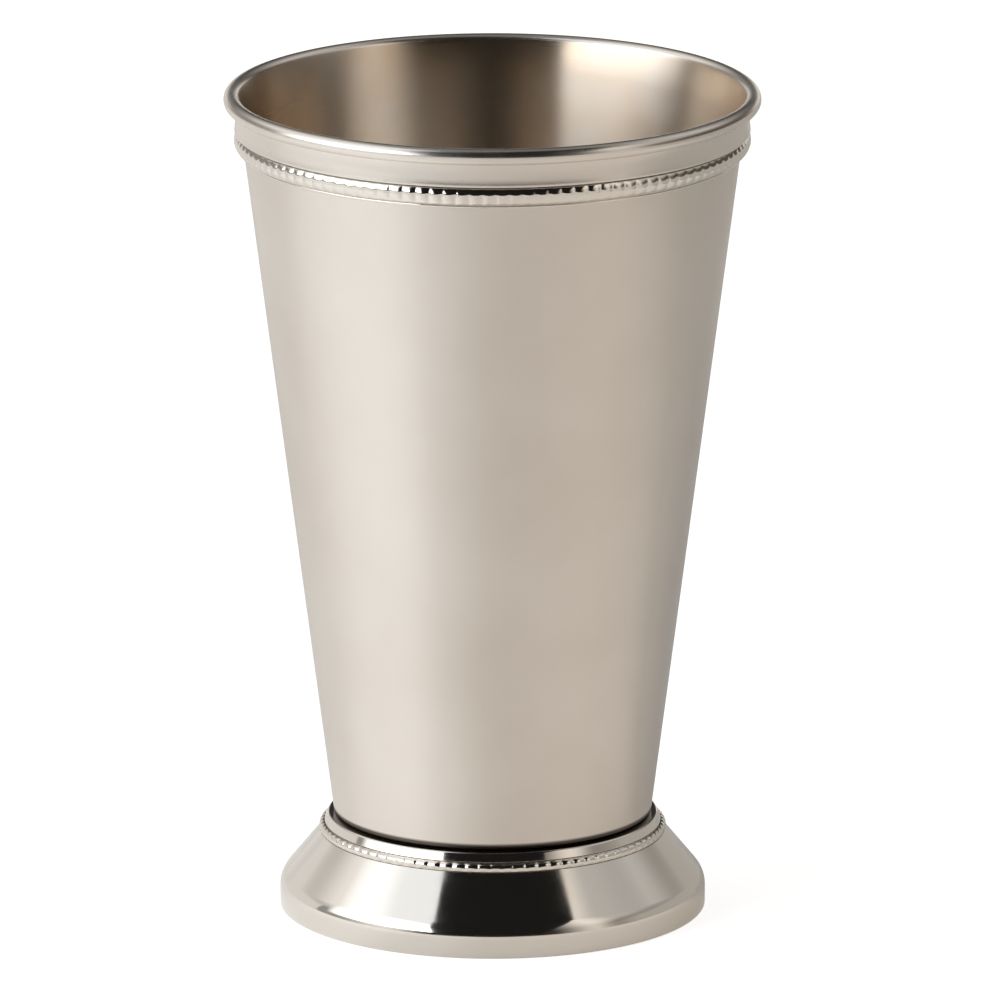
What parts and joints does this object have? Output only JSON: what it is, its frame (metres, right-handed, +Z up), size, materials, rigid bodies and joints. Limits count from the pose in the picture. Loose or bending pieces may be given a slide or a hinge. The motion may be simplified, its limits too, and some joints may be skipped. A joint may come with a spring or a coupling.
{
  "type": "julep cup",
  "caption": "Footed julep cup: tapered satin metal beaker with a rolled lip, a coved and beaded rim, and a polished hollow flared foot with a beaded collar; holds a chilled drink.",
  "frame": {"origin": "on the table, at the centre of the standing ring under the foot", "axes": "+Z up along the cup's axis of revolution; X and Y level, with -Y towards the camera of the picture"},
  "size_m": [0.0812, 0.0812, 0.127],
  "materials": {
    "satin_body": "satin",
    "polished_trim": "polished",
    "base_sheet": "mill"
  },
  "bodies": {
    "root": {"cup_body": "satin_body", "rim_band": "polished_trim", "rim_bead_wire": "polished_trim", "rim_border_wire": "polished_trim", "foot_collar": "polished_trim", "foot_bead_wire": "polished_trim", "foot_skirt": "polished_trim", "base_plate": "base_sheet"}
  },
  "joints": []
}
